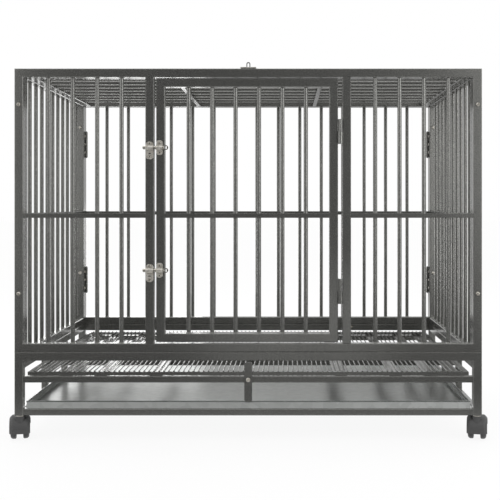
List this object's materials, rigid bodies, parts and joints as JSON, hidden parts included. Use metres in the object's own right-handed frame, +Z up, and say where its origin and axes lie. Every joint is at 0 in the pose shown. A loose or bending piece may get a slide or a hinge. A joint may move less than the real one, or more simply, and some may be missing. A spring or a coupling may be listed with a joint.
{
  "type": "dog crate",
  "caption": "Barred steel tube dog crate on a wheeled stand, with a hinged front door on barrel bolts, hinged lid with hasp, floor grid and slide-out drip tray.",
  "frame": {"origin": "on the floor, under the middle of the whole object's box", "axes": "+X to the right of someone facing the front door, +Y from the front door to the back, +Z up"},
  "size_m": [1.1224, 0.7656, 0.8765],
  "materials": {
    "powder_coat": "dark grey powder coat, satin, fine vein texture",
    "zinc_plate": "bright zinc plate",
    "tray_sheet": "galvanised sheet, soft sheen",
    "caster_plastic": "moulded dark grey nylon",
    "wheel_plastic": "moulded black nylon, faintly glossy tread"
  },
  "bodies": {
    "crate": {"front_panel_frame": "powder_coat", "front_panel_bars": "powder_coat", "back_panel_frame": "powder_coat", "back_panel_bars": "powder_coat", "left_panel_frame": "powder_coat", "left_panel_bars": "powder_coat", "right_panel_frame": "powder_coat", "right_panel_bars": "powder_coat", "panel_belts": "powder_coat", "stand_front": "powder_coat", "stand_rear": "powder_coat", "stand_sides": "powder_coat", "grid_rails": "powder_coat", "tray_rails": "powder_coat", "panel_bolts": "zinc_plate", "fold_hinges": "powder_coat", "door_hinge_pins": "powder_coat", "latch_keepers": "zinc_plate", "keeper_screws": "zinc_plate", "hasp_staple": "zinc_plate", "lid_hinge_backs": "zinc_plate", "turn_latch_screw": "zinc_plate", "caster_stems": "zinc_plate", "caster_sockets": "caster_plastic"},
    "front_door": {"door_frame": "powder_coat", "door_bars": "powder_coat", "door_belt": "powder_coat", "door_hinge_sleeves": "powder_coat", "bolt_saddles": "zinc_plate", "saddle_screws": "zinc_plate"},
    "upper_bolt": {"upper_bolt": "zinc_plate"},
    "lower_bolt": {"lower_bolt": "zinc_plate"},
    "lid": {"lid_frame": "powder_coat", "lid_bars": "powder_coat", "lid_braces": "powder_coat", "lid_hinge_leaves": "zinc_plate", "hasp_base": "zinc_plate"},
    "hasp": {"hasp_leaf": "zinc_plate"},
    "turn_latch": {"turn_latch": "powder_coat"},
    "floor_grid": {"floor_grid_frame": "powder_coat", "floor_grid_wires": "powder_coat"},
    "drip_tray": {"drip_tray": "tray_sheet"},
    "caster_front_left": {"caster_hood_front_left": "caster_plastic", "caster_axle_front_left": "zinc_plate"},
    "wheel_front_left_a": {"caster_wheel_front_left_a": "wheel_plastic"},
    "wheel_front_left_b": {"caster_wheel_front_left_b": "wheel_plastic"},
    "caster_rear_left": {"caster_hood_rear_left": "caster_plastic", "caster_axle_rear_left": "zinc_plate"},
    "wheel_rear_left_a": {"caster_wheel_rear_left_a": "wheel_plastic"},
    "wheel_rear_left_b": {"caster_wheel_rear_left_b": "wheel_plastic"},
    "caster_front_right": {"caster_hood_front_right": "caster_plastic", "caster_axle_front_right": "zinc_plate"},
    "wheel_front_right_a": {"caster_wheel_front_right_a": "wheel_plastic"},
    "wheel_front_right_b": {"caster_wheel_front_right_b": "wheel_plastic"},
    "caster_rear_right": {"caster_hood_rear_right": "caster_plastic", "caster_axle_rear_right": "zinc_plate"},
    "wheel_rear_right_a": {"caster_wheel_rear_right_a": "wheel_plastic"},
    "wheel_rear_right_b": {"caster_wheel_rear_right_b": "wheel_plastic"}
  },
  "joints": [
    {"name": "door_hinge", "type": "hinge", "parent": "crate", "child": "front_door", "pos_m": [0.2125, -0.37641, 0.525], "axis": [0, 0, 1], "range_deg": [0, 170]},
    {"name": "upper_bolt_slide", "type": "slide", "parent": "front_door", "child": "upper_bolt", "axis": [1, 0, 0], "range_m": [0, 0.03]},
    {"name": "lower_bolt_slide", "type": "slide", "parent": "front_door", "child": "lower_bolt", "axis": [1, 0, 0], "range_m": [0, 0.03]},
    {"name": "lid_hinge", "type": "hinge", "parent": "crate", "child": "lid", "pos_m": [0, 0.32634, 0.86325], "axis": [-1, 0, 0], "range_deg": [0, 170]},
    {"name": "hasp_hinge", "type": "hinge", "parent": "lid", "child": "hasp", "pos_m": [0, -0.34641, 0.8632], "axis": [-1, 0, 0], "range_deg": [0, 150]},
    {"name": "turn_latch_pivot", "type": "hinge", "parent": "crate", "child": "turn_latch", "pos_m": [0, -0.37241, 0.141], "axis": [0, 1, 0], "range_deg": [0, 90]},
    {"name": "floor_grid_slide", "type": "slide", "parent": "crate", "child": "floor_grid", "axis": [0, -1, 0], "range_m": [0, 0.72]},
    {"name": "drip_tray_slide", "type": "slide", "parent": "crate", "child": "drip_tray", "axis": [0, -1, 0], "range_m": [0, 0.72]},
    {"name": "caster_swivel_front_left", "type": "hinge", "parent": "crate", "child": "caster_front_left", "pos_m": [-0.53, -0.36241, 0.04], "axis": [0, 0, 1], "continuous": true},
    {"name": "wheel_spin_front_left_a", "type": "hinge", "parent": "caster_front_left", "child": "wheel_front_left_a", "pos_m": [-0.54768, -0.35007, 0.0265], "axis": [0.9744, 0.225, 0], "continuous": true},
    {"name": "wheel_spin_front_left_b", "type": "hinge", "parent": "caster_front_left", "child": "wheel_front_left_b", "pos_m": [-0.51952, -0.34357, 0.0265], "axis": [0.9744, 0.225, 0], "continuous": true},
    {"name": "caster_swivel_rear_left", "type": "hinge", "parent": "crate", "child": "caster_rear_left", "pos_m": [-0.53, 0.33759, 0.04], "axis": [0, 0, 1], "continuous": true},
    {"name": "wheel_spin_rear_left_a", "type": "hinge", "parent": "caster_rear_left", "child": "wheel_rear_left_a", "pos_m": [-0.54445, 0.35359, 0.0265], "axis": [1, 0, 0], "continuous": true},
    {"name": "wheel_spin_rear_left_b", "type": "hinge", "parent": "caster_rear_left", "child": "wheel_rear_left_b", "pos_m": [-0.51555, 0.35359, 0.0265], "axis": [1, 0, 0], "continuous": true},
    {"name": "caster_swivel_front_right", "type": "hinge", "parent": "crate", "child": "caster_front_right", "pos_m": [0.53, -0.36241, 0.04], "axis": [0, 0, 1], "continuous": true},
    {"name": "wheel_spin_front_right_a", "type": "hinge", "parent": "caster_front_right", "child": "wheel_front_right_a", "pos_m": [0.51952, -0.34357, 0.0265], "axis": [0.9744, -0.225, 0], "continuous": true},
    {"name": "wheel_spin_front_right_b", "type": "hinge", "parent": "caster_front_right", "child": "wheel_front_right_b", "pos_m": [0.54768, -0.35007, 0.0265], "axis": [0.9744, -0.225, 0], "continuous": true},
    {"name": "caster_swivel_rear_right", "type": "hinge", "parent": "crate", "child": "caster_rear_right", "pos_m": [0.53, 0.33759, 0.04], "axis": [0, 0, 1], "continuous": true},
    {"name": "wheel_spin_rear_right_a", "type": "hinge", "parent": "caster_rear_right", "child": "wheel_rear_right_a", "pos_m": [0.51555, 0.35359, 0.0265], "axis": [1, 0, 0], "continuous": true},
    {"name": "wheel_spin_rear_right_b", "type": "hinge", "parent": "caster_rear_right", "child": "wheel_rear_right_b", "pos_m": [0.54445, 0.35359, 0.0265], "axis": [1, 0, 0], "continuous": true}
  ]
}
